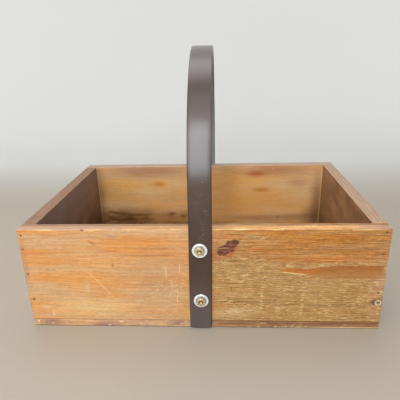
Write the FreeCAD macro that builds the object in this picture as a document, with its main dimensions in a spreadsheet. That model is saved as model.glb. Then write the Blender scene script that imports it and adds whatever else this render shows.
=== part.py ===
import FreeCAD, Part
import os
import re
import Sketcher

# An open wooden tote. Four boards are butted and nailed into a box, a bottom
# board is nailed on from below, and a leather strap arches over the middle.
# Each end of the strap hangs down outside a long board, held by two bolts.
# X runs along the box, Y from front to back and Z up. The origin is the
# middle of the box, on the surface that the bottom board rests on.

# Driving sizes, in millimetres
SIZES = {
    "box_length": 406.4,
    "box_width": 266.7,
    "box_height": 127.0,
    "wall_thickness": 15.9,
    "bottom_thickness": 9.5,
    "board_round": 0.8,
    "strap_width": 25.4,
    "strap_thickness": 4.0,
    "strap_rise": 48.0,
    "strap_foot": 2.0,
    "strap_corner_round": 3.0,
    "strap_edge_bevel": 0.6,
    "bolt_diameter": 4.8,
    "bolt_length": 25.4,
    "bolt_end_chamfer": 0.6,
    "bolt_head_diameter": 11.5,
    "bolt_head_height": 2.6,
    "bolt_neck_width": 5.0,
    "bolt_neck_depth": 2.9,
    "bolt_clearance": 0.2,
    "upper_bolt_height": 103.2,
    "lower_bolt_height": 39.7,
    "washer_diameter": 17.5,
    "washer_bore": 5.5,
    "washer_thickness": 1.2,
    "nut_flats": 9.5,
    "nut_height": 3.2,
    "nut_clearance": 0.1,
    "nail_diameter": 1.6,
    "nail_head_diameter": 2.2,
    "nail_head_height": 1.0,
    "nail_point_length": 3.0,
    "nail_set_depth": 0.8,
    "nail_clearance": 0.1,
    "corner_nail_length": 38.1,
    "bottom_nail_length": 31.8,
    "screw_diameter": 3.5,
    "screw_head_diameter": 7.1,
    "screw_head_height": 2.2,
    "screw_length": 31.8,
    "screw_point_length": 4.0,
    "screw_slot_width": 0.9,
    "screw_slot_length": 3.8,
    "screw_slot_depth": 1.1,
    "screw_clearance": 0.1,
    "cut_overrun": 1.0,
}

# Places of the corner nails on a wall's outer face: the distance in from the
# box's end as a share of the wall thickness, and the height as a share of
# the wall's own. The front ones are where the photograph shows them.
FRONT_LEFT_NAIL_SHARES = ((0.28, 0.936), (0.23, 0.792), (0.25, 0.521), (0.35, 0.231))
FRONT_RIGHT_NAIL_SHARES = ((0.36, 0.962), (0.42, 0.743), (0.36, 0.334))
FRONT_SCREW_SHARES = ((0.29, 0.224),)
BACK_LEFT_NAIL_SHARES = ((0.31, 0.91), (0.28, 0.66), (0.33, 0.38), (0.29, 0.13))
BACK_RIGHT_NAIL_SHARES = ((0.33, 0.89), (0.30, 0.62), (0.27, 0.36), (0.32, 0.12))

# Places of the bottom nails along a wall, as shares of the wall's length
LONG_WALL_NAIL_SHARES = (-0.43, -0.15, 0.15, 0.43)
END_WALL_NAIL_SHARES = (-0.15, 0.15)

# Proportions of small forms
NAIL_SIDES = 8
SPIKE_FOOT_SHARE = 0.65
SPIKE_TIP_SHARE = 0.1
DOME_SHARES = ((0.45, 1.0), (0.82, 0.62))
NUT_FACE_SHARE = 0.95
NUT_BEVEL_SHARE = 0.577
STRAP_BEVEL_LIMIT_SHARE = 0.45

# Places closer together than this count as the same
SAME_PLACE = 0.001

# Sizes that follow from the driving ones
WALL_HEIGHT = "(box_height - bottom_thickness)"
END_WALL_LENGTH = "(box_width - 2 * wall_thickness)"
STRAP_OUTER_RADIUS = "(box_width / 2 + strap_thickness)"
STRAP_SPRING_HEIGHT = "(box_height + strap_rise)"
STRAP_BEVEL = f"min(strap_edge_bevel; {STRAP_BEVEL_LIMIT_SHARE} * strap_thickness)"
BOLT_HOLE = "(bolt_diameter + 2 * bolt_clearance)"
NECK_HOLE = "(bolt_neck_width + 2 * bolt_clearance)"
NUT_BORE = "(bolt_diameter + 2 * nut_clearance)"
NUT_CORNER_RADIUS = "(nut_flats / sqrt(3))"
SCREW_HOLE = "(screw_diameter + 2 * screw_clearance)"
SCREW_HEAD_HOLE = "(screw_head_diameter + 2 * screw_clearance)"
SCREW_SINK_ANGLE = "2 * atan((screw_head_diameter - screw_diameter) / (2 * screw_head_height))"

doc = FreeCAD.newDocument("tote")
sheet = doc.addObject("Spreadsheet::Sheet", "Sizes")
for row, (name, size) in enumerate(SIZES.items(), start=1):
    sheet.set(f"A{row}", name)
    sheet.set(f"B{row}", str(size))
    sheet.setAlias(f"B{row}", name)
doc.recompute()

nodes = []


def sized(text):
    """An expression in plain size names, bound to the sheet's cells."""
    return re.sub(r"[a-z]\w+", lambda word: "Sizes." * (word[0] in SIZES) + word[0], text)


def value(text):
    """The number that such an expression gives now."""
    return float(sheet.evalExpression(sized(text)))


# Bodies and sketches

def new_body(label, is_node=True):
    body = doc.addObject("PartDesign::Body", label)
    body.Label = label
    if is_node:
        nodes.append(body)
    return body


def new_sketch(body, plane, offset=None):
    """A sketch on one of the body's own planes, moved along the plane's normal."""
    sketch = body.newObject("Sketcher::SketchObject", body.Label + "_sketch")
    planes = [feature for feature in body.Origin.OriginFeatures if feature.Role == plane]
    sketch.AttachmentSupport = (planes[0], [""])
    sketch.MapMode = "FlatFace"
    if offset is not None:
        sketch.setExpression("AttachmentOffset.Base.z", sized(offset))
    return sketch


def hold(sketch, kind, geometry, point, text):
    """Hold a point of the sketch at a distance from the origin along one axis."""
    if text == "0":
        axis = -2 if kind == "DistanceX" else -1
        sketch.addConstraint(Sketcher.Constraint("PointOnObject", geometry, point, axis))
        return
    constraint = Sketcher.Constraint(kind, -1, 1, geometry, point, value(text))
    number = sketch.addConstraint(constraint)
    sketch.setExpression(f"Constraints[{number}]", sized(text))


def vector(place):
    return FreeCAD.Vector(value(place[0]), value(place[1]), 0)


def draw_outline(sketch, places, arcs=None):
    """A closed outline through places given as expressions.

    Its sides are straight, except those whose number is in arcs, which gives
    a place that the arc passes and the one coordinate of its centre to hold.
    """
    arcs = arcs or {}
    first = sketch.GeometryCount
    count = len(places)
    for side in range(count):
        start = vector(places[side])
        end = vector(places[(side + 1) % count])
        if side in arcs:
            sketch.addGeometry(Part.Arc(start, vector(arcs[side][0]), end), False)
        else:
            sketch.addGeometry(Part.LineSegment(start, end), False)
    ends = [end_points(sketch, first + side, places[side]) for side in range(count)]
    for side in range(count):
        following = (side + 1) % count
        joint = (first + side, ends[side][1], first + following, ends[following][0])
        sketch.addConstraint(Sketcher.Constraint("Coincident", *joint))
    for side, place in enumerate(places):
        hold(sketch, "DistanceX", first + side, ends[side][0], place[0])
        hold(sketch, "DistanceY", first + side, ends[side][0], place[1])
    for side, (_, kind, centre) in arcs.items():
        hold(sketch, kind, first + side, 3, centre)


def end_points(sketch, geometry, start):
    """Which ends of a side are its start and its end: an arc is kept anticlockwise."""
    is_forward = sketch.getPoint(geometry, 1).distanceToPoint(vector(start)) < SAME_PLACE
    return (1, 2) if is_forward else (2, 1)


def draw_circles(sketch, places, diameter):
    for place in places:
        circle = Part.Circle(vector(place), FreeCAD.Vector(0, 0, 1), value(diameter) / 2)
        geometry = sketch.addGeometry(circle, False)
        hold(sketch, "DistanceX", geometry, 3, place[0])
        hold(sketch, "DistanceY", geometry, 3, place[1])
        number = sketch.addConstraint(Sketcher.Constraint("Diameter", geometry, value(diameter)))
        sketch.setExpression(f"Constraints[{number}]", sized(diameter))


def draw_eight_sides(sketch, diameter):
    """An eight-sided outline round the origin, as wide over its corners as the diameter."""
    angles = [360 / NAIL_SIDES * (number + 1 / 2) for number in range(NAIL_SIDES)]
    radius = f"({diameter}) / 2"
    draw_outline(sketch, [(f"{radius} * cos({angle})", f"{radius} * sin({angle})") for angle in angles])


# Features

def add_pad(body, sketch, length, is_symmetric=False):
    pad = body.newObject("PartDesign::Pad", body.Label + "_pad")
    pad.Profile = sketch
    pad.setExpression("Length", sized(length))
    if is_symmetric:
        pad.SideType = "Symmetric"
    doc.recompute()


def add_spike(body, diameter, start, length):
    """A four-sided point along Z, standing within a round of that diameter."""
    spike = body.newObject("PartDesign::AdditiveWedge", body.Label + "_point")
    spike.setExpression("Ymin", sized(start))
    spike.setExpression("Ymax", sized(f"{start} + {length}"))
    for prefix, share in (("", SPIKE_FOOT_SHARE), ("2", SPIKE_TIP_SHARE)):
        for axis in "XZ":
            spike.setExpression(f"{axis}{prefix}min", sized(f"-{share} * {diameter} / 2"))
            spike.setExpression(f"{axis}{prefix}max", sized(f"{share} * {diameter} / 2"))
    spike.Placement = FreeCAD.Placement(FreeCAD.Vector(), turned(1, 0, 0, 90))
    doc.recompute()


def add_revolution(body, sketch):
    revolution = body.newObject("PartDesign::Revolution", body.Label + "_revolution")
    revolution.Profile = sketch
    revolution.ReferenceAxis = (sketch, ["V_Axis"])
    doc.recompute()


def add_groove(body, sketch):
    volume = body.Shape.Volume
    groove = body.newObject("PartDesign::Groove", body.Label + "_groove")
    groove.Profile = sketch
    groove.ReferenceAxis = (sketch, ["V_Axis"])
    doc.recompute()
    check_cut(body, volume)


def add_pocket(body, sketch, depth=None, is_reversed=False):
    """Cut a sketch into the body: to a depth, or right through both ways."""
    volume = body.Shape.Volume
    pocket = body.newObject("PartDesign::Pocket", body.Label + "_pocket")
    pocket.Profile = sketch
    if depth is None:
        pocket.Type = "ThroughAll"
        pocket.SideType = "Symmetric"
    else:
        pocket.setExpression("Length", sized(depth))
        pocket.Reversed = is_reversed
    doc.recompute()
    check_cut(body, volume)


def add_hole(body, sketch, diameter, depth=None, is_reversed=False, sink=None):
    """Drill at each circle of a sketch, with a countersink if asked."""
    volume = body.Shape.Volume
    hole = body.newObject("PartDesign::Hole", body.Label + "_hole")
    hole.Profile = sketch
    hole.Reversed = is_reversed
    hole.setExpression("Diameter", sized(diameter))
    if depth is None:
        hole.DepthType = "ThroughAll"
    else:
        hole.DepthType = "Dimension"
        hole.DrillPoint = "Flat"
        hole.setExpression("Depth", sized(depth))
    if sink is not None:
        hole.HoleCutType = "Countersink"
        hole.setExpression("HoleCutDiameter", sized(sink[0]))
        hole.setExpression("HoleCutCountersinkAngle", sized(sink[1]))
    doc.recompute()
    check_cut(body, volume)


def pick_edges(body, is_picked):
    """The names of the edges that is_picked chooses by their two end points."""
    edges = enumerate(body.Tip.Shape.Edges, start=1)
    ends = [(number, edge.Vertexes[0].Point, edge.Vertexes[-1].Point) for number, edge in edges]
    return [f"Edge{number}" for number, start, end in ends if is_picked(start, end)]


def add_fillet(body, is_picked, radius):
    base, edges = body.Tip, pick_edges(body, is_picked)
    fillet = body.newObject("PartDesign::Fillet", body.Label + "_fillet")
    fillet.Base = (base, edges)
    fillet.setExpression("Radius", sized(radius))
    doc.recompute()


def add_chamfer(body, is_picked, size):
    base, edges = body.Tip, pick_edges(body, is_picked)
    chamfer = body.newObject("PartDesign::Chamfer", body.Label + "_chamfer")
    chamfer.Base = (base, edges)
    chamfer.setExpression("Size", sized(size))
    doc.recompute()


def check_cut(body, volume):
    if body.Shape.Volume >= volume:
        raise RuntimeError(f"a cut in {body.Label} removed nothing")


def is_near(first, second):
    return abs(first - second) < SAME_PLACE


def put(part, x, y, z, rotation=None):
    """Put a part at a place given as expressions, turned about its own origin."""
    if rotation is not None:
        part.Placement = FreeCAD.Placement(FreeCAD.Vector(), rotation)
    for axis, text in (("x", x), ("y", y), ("z", z)):
        part.setExpression(f"Placement.Base.{axis}", sized(text))


def turned(x, y, z, degrees):
    return FreeCAD.Rotation(FreeCAD.Vector(x, y, z), degrees)


# Walls. Each is drawn lying along X with its outer face at Y = 0 and its
# foot at Z = 0, and is then turned about Z into its place. These are blanks:
# the nail holes are cut further down.

def corner_places(length, shares, side):
    """Places on a wall's outer face at its left (-1) or right (1) end."""
    return [
        (f"{side} * ({length} / 2 - {inset} * wall_thickness)", f"{height} * {WALL_HEIGHT}")
        for inset, height in shares
    ]


def make_wall(label, length, has_outer_corners):
    body = new_body(label + "_blank", is_node=False)
    section = new_sketch(body, "XY_Plane")
    half = f"{length} / 2"
    draw_outline(section, [
        (f"-{half}", "0"),
        (half, "0"),
        (half, "wall_thickness"),
        (f"-{half}", "wall_thickness"),
    ])
    add_pad(body, section, WALL_HEIGHT)
    top = value(WALL_HEIGHT)

    def is_rounded(start, end):
        is_on_top = is_near(start.z, top) and is_near(end.z, top) and is_near(start.y, end.y)
        is_upright = is_near(start.x, end.x) and is_near(start.y, 0) and is_near(end.y, 0)
        return is_on_top or (has_outer_corners and is_upright)

    add_fillet(body, is_rounded, "board_round")
    return body


def add_strap_holes(body):
    """Two bolt holes through a long wall, square on the inside for the bolts' necks."""
    heights = [f"({name} - bottom_thickness)" for name in ("upper_bolt_height", "lower_bolt_height")]
    shank = new_sketch(body, "XZ_Plane")
    draw_circles(shank, [("0", height) for height in heights], BOLT_HOLE)
    add_hole(body, shank, BOLT_HOLE)
    neck = new_sketch(body, "XZ_Plane", "-wall_thickness")
    half = f"{NECK_HOLE} / 2"
    for height in heights:
        draw_outline(neck, [
            (f"-{half}", f"{height} - {half}"),
            (half, f"{height} - {half}"),
            (half, f"{height} + {half}"),
            (f"-{half}", f"{height} + {half}"),
        ])
    add_pocket(body, neck, "bolt_neck_depth + bolt_clearance", is_reversed=True)


def add_screw_holes(front_wall, end_wall):
    """The corner screw's countersunk hole, and its pilot hole in the end grain behind."""
    face = new_sketch(front_wall, "XZ_Plane")
    draw_circles(face, corner_places("box_length", FRONT_SCREW_SHARES, 1), SCREW_HOLE)
    add_hole(front_wall, face, SCREW_HOLE, sink=(SCREW_HEAD_HOLE, SCREW_SINK_ANGLE))
    grain = new_sketch(end_wall, "YZ_Plane", f"-{END_WALL_LENGTH} / 2")
    inset, height = FRONT_SCREW_SHARES[0]
    draw_circles(grain, [(f"{inset} * wall_thickness", f"{height} * {WALL_HEIGHT}")], SCREW_HOLE)
    pilot = "screw_length - wall_thickness + screw_clearance"
    add_hole(end_wall, grain, SCREW_HOLE, depth=pilot, is_reversed=True)


front = make_wall("front_board", "box_length", True)
back = make_wall("back_board", "box_length", True)
left = make_wall("left_end_board", END_WALL_LENGTH, False)
right = make_wall("right_end_board", END_WALL_LENGTH, False)
add_strap_holes(front)
add_strap_holes(back)
add_screw_holes(front, right)
put(front, "0", "-box_width / 2", "bottom_thickness")
put(back, "0", "box_width / 2", "bottom_thickness", turned(0, 0, 1, 180))
put(left, "-box_length / 2", "0", "bottom_thickness", turned(0, 0, 1, -90))
put(right, "box_length / 2", "0", "bottom_thickness", turned(0, 0, 1, 90))


# Bottom board, as long and as wide as the box, under all four walls

def make_bottom():
    body = new_body("bottom_board_blank", is_node=False)
    section = new_sketch(body, "XY_Plane")
    draw_outline(section, [
        ("-box_length / 2", "-box_width / 2"),
        ("box_length / 2", "-box_width / 2"),
        ("box_length / 2", "box_width / 2"),
        ("-box_length / 2", "box_width / 2"),
    ])
    add_pad(body, section, "bottom_thickness")

    def is_rounded(start, end):
        is_upright = not is_near(start.z, end.z)
        is_underneath = is_near(start.z, 0) and is_near(end.z, 0)
        return is_upright or is_underneath

    add_fillet(body, is_rounded, "board_round")
    return body


bottom = make_bottom()


# Handle: a leather strap with straight legs and a half-round arch between
# them, as wide as the box, with bevelled edges and rounded feet

def make_strap():
    body = new_body("handle_strap")
    profile = new_sketch(body, "YZ_Plane")
    inner, outer = "box_width / 2", STRAP_OUTER_RADIUS
    spring = STRAP_SPRING_HEIGHT
    arcs = {
        1: (("0", f"{spring} + {outer}"), "DistanceY", spring),
        5: (("0", f"{spring} + {inner}"), "DistanceY", spring),
    }
    draw_outline(profile, [
        (f"-{outer}", "strap_foot"),
        (f"-{outer}", spring),
        (outer, spring),
        (outer, "strap_foot"),
        (inner, "strap_foot"),
        (inner, spring),
        (f"-{inner}", spring),
        (f"-{inner}", "strap_foot"),
    ], arcs)
    add_pad(body, profile, "strap_width", is_symmetric=True)
    foot = value("strap_foot")

    def is_through(start, end):
        is_level = is_near(start.x, end.x) and is_near(start.z, end.z)
        return is_level and is_near(abs(start.y - end.y), value("strap_thickness"))

    def is_foot_corner(start, end):
        return is_through(start, end) and is_near(start.z, foot)

    def is_face_edge(start, end):
        is_along = is_near(start.x, end.x) or is_near(min(start.z, end.z), foot)
        return is_along and not is_through(start, end)

    add_fillet(body, is_foot_corner, "strap_corner_round")
    add_chamfer(body, is_face_edge, STRAP_BEVEL)
    holes = new_sketch(body, "XZ_Plane")
    draw_circles(holes, [("0", "upper_bolt_height"), ("0", "lower_bolt_height")], BOLT_HOLE)
    add_pocket(body, holes)


make_strap()


# Bolts with a domed head and a square neck, pushed through from inside the
# box, with a washer and a hexagon nut outside the strap. Each is drawn along
# Z, the bolt from under its head and the others from the face they sit on.

def make_bolt(label):
    body = new_body(label)
    profile = new_sketch(body, "XZ_Plane")
    head = "bolt_head_diameter / 2"
    shank = "bolt_diameter / 2"
    dome = [(f"{out} * {head}", f"-{up} * bolt_head_height") for out, up in DOME_SHARES]
    draw_outline(profile, [
        ("0", "-bolt_head_height"),
        *dome,
        (head, "0"),
        (shank, "0"),
        (shank, "bolt_length - bolt_end_chamfer"),
        (f"{shank} - bolt_end_chamfer", "bolt_length"),
        ("0", "bolt_length"),
    ])
    add_revolution(body, profile)
    neck = new_sketch(body, "XY_Plane")
    half = "bolt_neck_width / 2"
    draw_outline(neck, [(f"-{half}", f"-{half}"), (half, f"-{half}"), (half, half), (f"-{half}", half)])
    add_pad(body, neck, "bolt_neck_depth")
    return body


def make_washer(label):
    body = new_body(label)
    ring = new_sketch(body, "XY_Plane")
    draw_circles(ring, [("0", "0")], "washer_diameter")
    draw_circles(ring, [("0", "0")], "washer_bore")
    add_pad(body, ring, "washer_thickness")
    return body


def make_nut(label):
    body = new_body(label)
    hexagon = new_sketch(body, "XY_Plane")
    corner, flat = NUT_CORNER_RADIUS, "nut_flats / 2"
    draw_outline(hexagon, [
        (corner, "0"),
        (f"{corner} / 2", flat),
        (f"-{corner} / 2", flat),
        (f"-{corner}", "0"),
        (f"-{corner} / 2", f"-{flat}"),
        (f"{corner} / 2", f"-{flat}"),
    ])
    add_pad(body, hexagon, "nut_height")
    bevel = new_sketch(body, "XZ_Plane")
    face = f"{NUT_FACE_SHARE} * nut_flats / 2"
    reach = f"({corner} + cut_overrun)"
    drop = f"{NUT_BEVEL_SHARE} * ({reach} - {face})"
    draw_outline(bevel, [(face, "nut_height"), (reach, "nut_height"), (reach, f"nut_height - {drop}")])
    add_groove(body, bevel)
    bore = new_sketch(body, "XY_Plane")
    draw_circles(bore, [("0", "0")], NUT_BORE)
    add_pocket(body, bore)
    return body


def put_on_bolt(part, side, inset, height):
    """Stand a part on a bolt's axis, facing out of the front (-1) or the back (1)."""
    y = f"{side} * (box_width / 2 - wall_thickness + {inset})"
    put(part, "0", y, height, turned(1, 0, 0, -90 * side))


for end, side in (("front", -1), ("rear", 1)):
    for level in ("upper", "lower"):
        height = f"{level}_bolt_height"
        put_on_bolt(make_bolt(f"{end}_{level}_bolt"), side, "0", height)
        outside = "wall_thickness + strap_thickness"
        put_on_bolt(make_washer(f"{end}_{level}_washer"), side, outside, height)
        put_on_bolt(make_nut(f"{end}_{level}_nut"), side, f"{outside} + washer_thickness", height)


# Finishing nails, set a little below the wood, eight-sided to stay light. A
# nail and its hole are drawn once for each length, pointing up Z from the
# head, and each row repeats both, so a nail and its hole never part.

def make_nail(label, length, clearance="0"):
    """A nail, or with a clearance the hole that it sits in, up to the wood's surface."""
    body = new_body(label, is_node=False)
    wider = f" + 2 * {clearance}"
    shank = new_sketch(body, "XY_Plane")
    draw_eight_sides(shank, "nail_diameter" + wider)
    add_pad(body, shank, f"{length} - nail_point_length")
    head = new_sketch(body, "XY_Plane")
    draw_eight_sides(head, "nail_head_diameter" + wider)
    add_pad(body, head, "nail_head_height")
    if clearance == "0":
        add_spike(body, "nail_diameter", f"{length} - nail_point_length", "nail_point_length")
    else:
        point = new_sketch(body, "XY_Plane", f"{length} - nail_point_length")
        draw_eight_sides(point, "nail_diameter" + wider)
        add_pad(body, point, f"nail_point_length + {clearance}")
        mouth = new_sketch(body, "XY_Plane", "-nail_set_depth - cut_overrun")
        draw_eight_sides(mouth, "nail_head_diameter" + wider)
        add_pad(body, mouth, "nail_set_depth + cut_overrun")
    return body


def make_row(label, shape, places, rotation, is_node):
    """One object that holds a copy of a shape at each place, given in X, Y and Z."""
    row = doc.addObject("Part::Compound", label)
    row.Label = label
    copies = []
    for number, place in enumerate(places, start=1):
        copy = doc.addObject("App::Link", f"{label}_{number}")
        copy.LinkedObject = shape
        put(copy, *place, rotation)
        copies.append(copy)
    row.Links = copies
    if is_node:
        nodes.append(row)
    return row


def make_nails_and_holes(label, shapes, places, rotation):
    """A row of nails as a node, and the row of holes that the boards are cut by."""
    make_row(f"{label}_nails", shapes[0], places, rotation, True)
    return make_row(f"{label}_nail_holes", shapes[1], places, rotation, False)


def make_corner_rows(label, shares, x_side, y_side):
    """Nails through a long wall into an end wall, at the corner that the sides name."""
    places = [
        (x, f"{y_side} * (box_width / 2 - nail_set_depth)", f"{z} + bottom_thickness")
        for x, z in corner_places("box_length", shares, x_side)
    ]
    return make_nails_and_holes(label, corner_shapes, places, turned(1, 0, 0, 90 * y_side))


def make_bottom_rows(label, length, shares, place):
    """Nails up into a wall, along its length. place gives X and Y from the run along it."""
    places = [(*place(f"{share} * {length}"), "nail_set_depth") for share in shares]
    return make_nails_and_holes(label, bottom_shapes, places, turned(0, 0, 1, 0))


def cut_board(label, blank, holes):
    """A board's node: its blank less the nail holes that reach into it."""
    cutter = doc.addObject("Part::Compound", label + "_cutter")
    cutter.Links = holes
    board = doc.addObject("Part::Cut", label)
    board.Label = label
    board.Base = blank
    board.Tool = cutter
    doc.recompute()
    check_cut(board, blank.Shape.Volume)
    nodes.append(board)


corner_shapes = (
    make_nail("corner_nail", "corner_nail_length"),
    make_nail("corner_nail_hole", "corner_nail_length", "nail_clearance"),
)
bottom_shapes = (
    make_nail("bottom_nail", "bottom_nail_length"),
    make_nail("bottom_nail_hole", "bottom_nail_length", "nail_clearance"),
)
front_left = make_corner_rows("front_left", FRONT_LEFT_NAIL_SHARES, -1, -1)
front_right = make_corner_rows("front_right", FRONT_RIGHT_NAIL_SHARES, 1, -1)
back_left = make_corner_rows("back_left", BACK_LEFT_NAIL_SHARES, -1, 1)
back_right = make_corner_rows("back_right", BACK_RIGHT_NAIL_SHARES, 1, 1)
LONG_ROW = "(box_width - wall_thickness) / 2"
END_ROW = "(box_length - wall_thickness) / 2"
under_front = make_bottom_rows(
    "bottom_front", "box_length", LONG_WALL_NAIL_SHARES, lambda run: (run, "-" + LONG_ROW))
under_back = make_bottom_rows(
    "bottom_back", "box_length", LONG_WALL_NAIL_SHARES, lambda run: (run, LONG_ROW))
under_left = make_bottom_rows(
    "bottom_left", END_WALL_LENGTH, END_WALL_NAIL_SHARES, lambda run: ("-" + END_ROW, run))
under_right = make_bottom_rows(
    "bottom_right", END_WALL_LENGTH, END_WALL_NAIL_SHARES, lambda run: (END_ROW, run))

cut_board("front_board", front, [front_left, front_right, under_front])
cut_board("back_board", back, [back_left, back_right, under_back])
cut_board("left_end_board", left, [front_left, back_left, under_left])
cut_board("right_end_board", right, [front_right, back_right, under_right])
cut_board("bottom_board", bottom, [under_front, under_back, under_left, under_right])


# Corner screw, flush with the front, with a cross-shaped recess

def make_screw():
    body = new_body("corner_screw")
    profile = new_sketch(body, "XZ_Plane")
    head, shank = "screw_head_diameter / 2", "screw_diameter / 2"
    draw_outline(profile, [
        ("0", "0"),
        (head, "0"),
        (shank, "screw_head_height"),
        (shank, "screw_length - screw_point_length"),
        ("0", "screw_length"),
    ])
    add_revolution(body, profile)
    recess = new_sketch(body, "XY_Plane")
    wide, long = "screw_slot_width / 2", "screw_slot_length / 2"
    draw_outline(recess, [
        (wide, wide), (wide, long), (f"-{wide}", long), (f"-{wide}", wide),
        (f"-{long}", wide), (f"-{long}", f"-{wide}"), (f"-{wide}", f"-{wide}"), (f"-{wide}", f"-{long}"),
        (wide, f"-{long}"), (wide, f"-{wide}"), (long, f"-{wide}"), (long, wide),
    ])
    add_pocket(body, recess, "screw_slot_depth", is_reversed=True)
    x, z = corner_places("box_length", FRONT_SCREW_SHARES, 1)[0]
    put(body, x, "-box_width / 2", f"{z} + bottom_thickness", turned(1, 0, 0, -90))


make_screw()

# Check everything before any file is written
doc.recompute()
for item in doc.Objects:
    if "Invalid" in item.State or "Error" in item.State:
        raise RuntimeError(f"{item.Label} failed: {item.State}")
for node in nodes:
    if node.Shape.isNull() or not node.Shape.isValid():
        raise RuntimeError(f"{node.Label} has no valid shape")

os.makedirs("parts", exist_ok=True)
for node in nodes:
    node.Shape.exportStep(f"parts/{node.Label}.step")
print(len(nodes), "nodes written")
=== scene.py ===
import math
from itertools import product

import bmesh
import bpy
from mathutils import Matrix, Vector, noise


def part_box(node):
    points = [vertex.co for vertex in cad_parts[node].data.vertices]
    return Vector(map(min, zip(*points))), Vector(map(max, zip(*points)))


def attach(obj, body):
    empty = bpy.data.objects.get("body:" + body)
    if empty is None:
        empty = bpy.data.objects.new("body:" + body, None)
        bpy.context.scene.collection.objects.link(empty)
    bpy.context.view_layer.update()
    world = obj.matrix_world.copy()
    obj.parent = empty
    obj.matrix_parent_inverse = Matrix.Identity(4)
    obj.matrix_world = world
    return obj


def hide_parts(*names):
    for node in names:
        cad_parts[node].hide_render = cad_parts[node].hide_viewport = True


# An old pine tote with a leather handle, dressed around its CAD frame. The
# worn boards are cut out of the CAD ones, so every hole stays where it is.
# Lengths are in metres, apart from what materials say in millimetres.
MM = 0.001

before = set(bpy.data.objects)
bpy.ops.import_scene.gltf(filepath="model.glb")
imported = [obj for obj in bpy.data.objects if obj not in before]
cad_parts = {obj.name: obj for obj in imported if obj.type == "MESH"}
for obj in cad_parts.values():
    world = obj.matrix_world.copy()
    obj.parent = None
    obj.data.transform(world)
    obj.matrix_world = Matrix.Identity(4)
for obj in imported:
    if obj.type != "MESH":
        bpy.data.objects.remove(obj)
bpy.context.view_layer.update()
BOX_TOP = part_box("front_board")[1].z

# The camera of the photograph: its place, its turns in degrees, its lens
CAMERA_PLACE = (0.02715, -0.53136, 0.30851)
CAMERA_YAW, CAMERA_PITCH, CAMERA_ROLL = 3.65, 20.37, -1.66
CAMERA_LENS, CAMERA_SENSOR = 36.65, 36.0


def place_object(name, data):
    made = bpy.data.objects.new(name, data)
    bpy.context.scene.collection.objects.link(made)
    return made


def make_camera():
    camera = place_object("camera", bpy.data.cameras.new("camera"))
    yaw, pitch, roll = (math.radians(turn) for turn in (CAMERA_YAW, CAMERA_PITCH, CAMERA_ROLL))
    turns = Matrix.Rotation(yaw, 4, "Z") @ Matrix.Rotation(math.pi / 2 - pitch, 4, "X")
    camera.matrix_world = Matrix.Translation(CAMERA_PLACE) @ turns @ Matrix.Rotation(roll, 4, "Z")
    camera.data.lens = CAMERA_LENS
    camera.data.sensor_width = CAMERA_SENSOR
    camera.data.clip_start = 0.01
    camera.data.clip_end = 50
    bpy.context.scene.camera = camera


def srgb(colour):
    """A linear colour from the 0 to 255 values that it is seen as."""
    def linear(part):
        part /= 255
        return part / 12.92 if part <= 0.04045 else ((part + 0.055) / 1.055) ** 2.4
    return (*map(linear, colour), 1.0)


# Materials

class Value:
    """A number that a shader works out. Reckoning with it adds Math nodes."""

    def __init__(self, shader, socket):
        self.shader, self.socket = shader, socket

    def __add__(self, other):
        return self.shader.math("ADD", self, other)

    def __sub__(self, other):
        return self.shader.math("SUBTRACT", self, other)

    def __rsub__(self, other):
        return self.shader.math("SUBTRACT", other, self)

    def __mul__(self, other):
        return self.shader.math("MULTIPLY", self, other)

    def __truediv__(self, other):
        return self.shader.math("DIVIDE", self, other)

    def __abs__(self):
        return self.shader.math("ABSOLUTE", self)

    __radd__, __rmul__ = __add__, __mul__


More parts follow.
